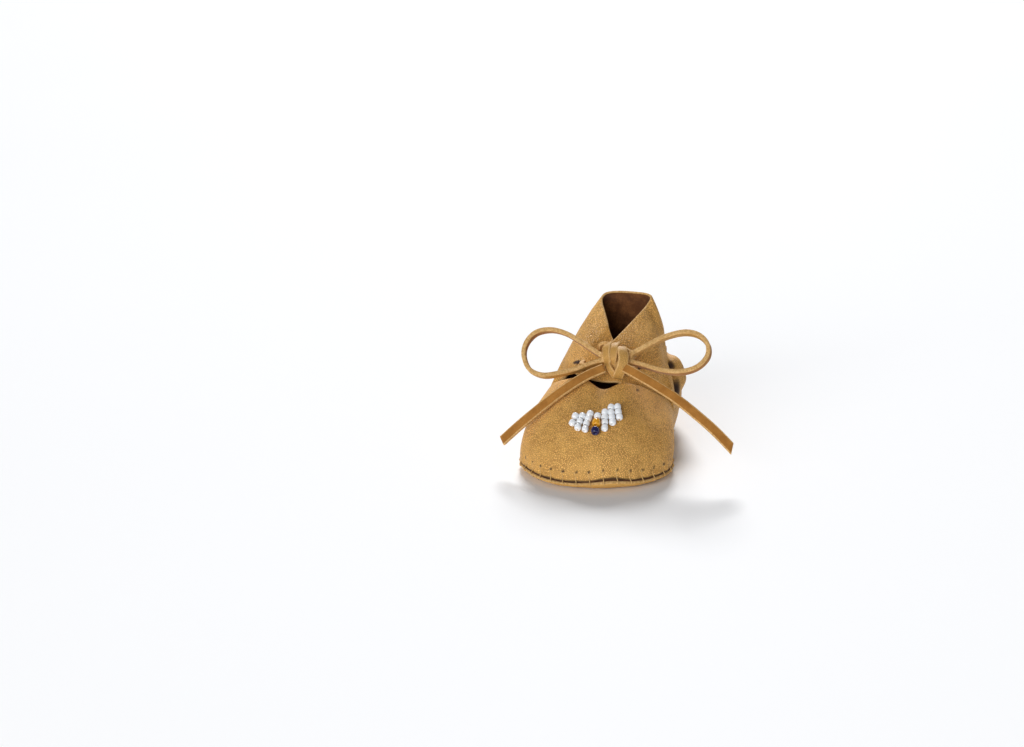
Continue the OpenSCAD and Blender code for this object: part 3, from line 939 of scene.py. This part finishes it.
def make_knot():
    """Turns of lace round a packed core; routes are across, up and forward from the knot."""
    soup = Soup()
    turns = [
        # two turns side by side over the front
        ([(-3.0, 5.4, -1.6), (-3.2, 6.0, 0.2), (-3.2, 4.6, 2.2), (-3.0, 2.4, 2.9),
          (-2.6, 0.6, 2.6), (-2.2, -0.8, 1.2)], 1.5, 0.7),
        ([(-0.6, 5.6, -1.6), (-0.7, 6.3, 0.2), (-0.7, 4.8, 2.4), (-0.6, 2.6, 3.2),
          (-0.6, 0.6, 2.9), (-0.8, -1.0, 1.2)], 1.35, 0.7),
        # the last turn, down the right side
        ([(0.9, 4.4, -1.0), (1.2, 4.8, 1.2), (2.1, 3.4, 3.0), (2.9, 0.8, 3.6),
          (2.7, -1.8, 3.3), (1.7, -4.0, 1.8), (1.0, -4.8, 0)], 1.7, 0.75),
        # a short turn that comes out below
        ([(-2.4, -0.8, 1.6), (-1.7, -2.2, 2.4), (-0.7, -3.6, 2.0), (0.4, -4.8, 0.6)], 1.1, 0.6),
        # the turns behind, seen over the top left and at the right
        ([(-6.8, 4.4, -2.2), (-6.6, 6.2, -1.6), (-4.8, 6.9, -1.2), (-2.6, 6.2, -1.4)], 0.7, 0.6),
        ([(2.2, 5.0, -1.2), (4.2, 4.0, 0.4), (5.0, 2.2, 0.2), (4.8, 0.2, -0.4)], 1.3, 0.7),
    ]
    for route, half_w, half_t in turns:
        path = spline(route, 6)
        run = unit(np.gradient(path, axis=0))
        out = unit(path - np.array([0.3, 0.2, -2.4]))
        wide = np.cross(run, out)
        soup.add(*ribbon(bow(path), bow(wide) - KNOT, half_w, half_t))
    # the loops' strands, where they go into the knot
    for route in ([(-5.7, 2.3, 0), (-3.6, 1.2, 0.2), (-1.0, 0.6, 0.4)],
                  [(-5.7, 0.0, 0), (-3.6, 0.4, 0.1), (-1.0, 0.4, 0.2)],
                  [(5.7, 3.8, 0), (3.8, 2.6, 0.2), (1.2, 1.2, 0.4)],
                  [(5.8, 0.4, 0), (3.8, 0.7, 0.1), (1.2, 0.8, 0.2)]):
        points, faces, slots = ribbon(bow(spline(route, 4)), BOW_N, LACE_W / 2 + 0.08,
                                      LACE_T / 2 + 0.08)
        soup.add(points, faces, [1 if slot < 2 else 2 for slot in slots])
    core = []
    steps, rings = 28, 14
    for i in range(rings + 1):
        angle = math.pi * i / rings
        for j in range(steps):
            around = 2 * math.pi * j / steps
            core.append((4.2 * math.sin(angle) * math.cos(around),
                         4.4 * math.sin(angle) * math.sin(around) + 0.3,
                         2.6 * math.cos(angle) + 0.1))
    faces = [[i * steps + j, (i + 1) * steps + j, (i + 1) * steps + (j + 1) % steps,
              i * steps + (j + 1) % steps] for i in range(rings) for j in range(steps)]
    soup.add(bow(core), faces, [1] * len(faces))
    piece = soup.make("knot_turns", [LACE_FLESH, LACE_GRAIN, EDGE])
    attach(piece, "shoe")
    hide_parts("knot_core", "knot_wrap")


make_ankle_lace()
make_knot()


# ---- back seam ----
def back_stitches(name, heights, body_blend, node):
    soup = Soup()
    for p in heights:
        path = np.array([p + (-1.5, 0.2, -0.3), p + (-1.1, 0.35, -0.2), p + (0, 0.5, 0),
                         p + (1.1, 0.35, 0.2), p + (1.5, 0.2, 0.3)])
        soup.add(*tube(spline(path, 3), 0.22))
    piece = soup.make(name, [THREAD_MAT])
    if body_blend:
        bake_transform(piece)
    else:
        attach(piece, "shoe")
    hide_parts(node)


def make_back_seam():
    k = np.linspace(0.08, 0.80, 9)
    back_stitches("heel_thread", quarter_pt(np.full_like(k, 180), k), False, "heel_stitches")
    k = np.linspace(0.2, 0.94, 5)
    back_stitches("collar_thread", collar_pt(np.full_like(k, 180), k), True, "collar_stitches")


make_back_seam()


# ---- beads ----
BEAD_D, ACCENT_D = 2.3, 2.8
LEFT_WING = [(-2.4, 3.6), (-2.5, 1.6), (-2.7, -0.3), (-2.7, -2.5), (-4.75, 2.3), (-4.95, 0.1),
             (-5, -2.2), (-7.05, 1.6), (-7.25, -0.9)]
RIGHT_WING = [(2.4, 4.3), (2.5, 2.3), (2.7, 0.4), (2.8, -1.9), (4.65, 5.9), (4.7, 3.9), (5, 2.1),
              (5.3, 0.2), (6.95, 5.7), (7.2, 3.8), (7.6, 1.9)]


def on_vamp(u, w, lift):
    """A point of the vamp, counted in millimetres across and up from the yellow bead."""
    row = LOW_ROWS * (BEAD_K + w / MM_PER_K) ** (1 / 1.25)
    return on_wall(BEAD_T + u / MM_PER_DEG, row, lift)


def bead(u, w, seed, size):
    """A rounded ring of glass, its bore along the string, up the vamp."""
    jitter = [noise.noise(Vector((seed * 3.1, u, w + s))) for s in (0, 9, 21)]
    size *= 1 + 0.06 * jitter[0]
    centre = on_vamp(u, w, size / 2 + 0.02)
    normal = unit(centre - on_vamp(u, w, 0))
    along_vamp = unit(on_vamp(u, w + 0.5, 0) - on_vamp(u, w - 0.5, 0))
    axis = unit(along_vamp + normal * 0.3 * jitter[1]
                + np.cross(normal, along_vamp) * 0.5 * jitter[2])
    side = unit(np.cross(axis, normal))
    up = np.cross(side, axis)
    bore, tall, steps, around = size * 0.14, size * 0.42, 14, 22
    points = []
    for i in range(steps):
        angle = 2 * math.pi * i / steps
        radius = (size / 2 + bore) / 2 + (size / 2 - bore) / 2 * math.cos(angle)
        along = tall * math.copysign(abs(math.sin(angle)) ** 0.9, math.sin(angle))
        for j in range(around):
            turn = 2 * math.pi * j / around
            points.append(centre + axis * along
                          + (side * math.cos(turn) + up * math.sin(turn)) * radius)
    faces = [[i * around + j, i * around + (j + 1) % around,
              (i + 1) % steps * around + (j + 1) % around, (i + 1) % steps * around + j]
             for i in range(steps) for j in range(around)]
    return np.array(points), faces


def make_beads(name, node, material, places, size=BEAD_D):
    soup = Soup()
    for seed, (u, w) in enumerate(places):
        soup.add(*bead(u, w, seed + 1, size))
    piece = soup.make(name, [material])
    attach(piece, "shoe")
    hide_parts(node)


def make_bead_thread():
    soup = Soup()
    for u, w in (LEFT_WING[6], LEFT_WING[8], RIGHT_WING[10]):
        path = np.array([on_vamp(u, w - 0.5, 0.9), on_vamp(u + 0.1, w - 1.1, 0.5),
                         on_vamp(u + 0.2, w - 1.5, 0.05), on_vamp(u + 0.2, w - 1.6, -0.4)])
        soup.add(*tube(spline(path, 3), 0.12))
    piece = soup.make("bead_thread_ends", [THREAD_MAT])
    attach(piece, "shoe")
    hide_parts("bead_thread")


make_beads("beads_left", "beads_left_wing", BEAD_WHITE, LEFT_WING)
make_beads("beads_right", "beads_right_wing", BEAD_WHITE, RIGHT_WING)
make_beads("bead_top", "bead_head", BEAD_WHITE, [(0, 2.9)])
make_beads("bead_middle", "bead_yellow", BEAD_YELLOW, [(0, 0.1)], ACCENT_D)
make_beads("bead_bottom", "bead_blue", BEAD_BLUE, [(0, -3.2)], ACCENT_D)
make_bead_thread()


# ---- floor and light ----
def make_stage():
    half = 4.0
    mesh = bpy.data.meshes.new("floor")
    mesh.from_pydata([(-half, -half, 0), (half, -half, 0), (half, half, 0), (-half, half, 0)],
                     [], [[0, 1, 2, 3]])
    g = Graph("floor")
    mesh.materials.append(g.finish(g.blend(g.noise(3, 2), (0.92, 0.93, 0.95), (0.94, 0.95, 0.97)),
                                   0.7, specular=0.1))
    floor = bpy.data.objects.new("floor", mesh)
    bpy.context.scene.collection.objects.link(floor)

    world = bpy.data.worlds.new("studio")
    world.use_nodes = True
    world.node_tree.nodes["Background"].inputs["Color"].default_value = (1, 1, 1, 1)
    world.node_tree.nodes["Background"].inputs["Strength"].default_value = 0.22
    bpy.context.scene.world = world

    # a high key from behind drops a soft shadow below the toe, a low fill lights the front
    for name, energy, softness, way in (("key", 3.25, 20, (0.3, -1.25, -1)),
                                        ("fill", 2.5, 50, (0.3, 1, -0.18))):
        sun = bpy.data.lights.new(name, "SUN")
        sun.energy = energy
        sun.angle = math.radians(softness)
        lamp = bpy.data.objects.new(name, sun)
        bpy.context.scene.collection.objects.link(lamp)
        lamp.rotation_euler = Vector(way).to_track_quat("-Z", "Y").to_euler()
    bpy.context.scene.view_settings.view_transform = "Standard"


make_stage()
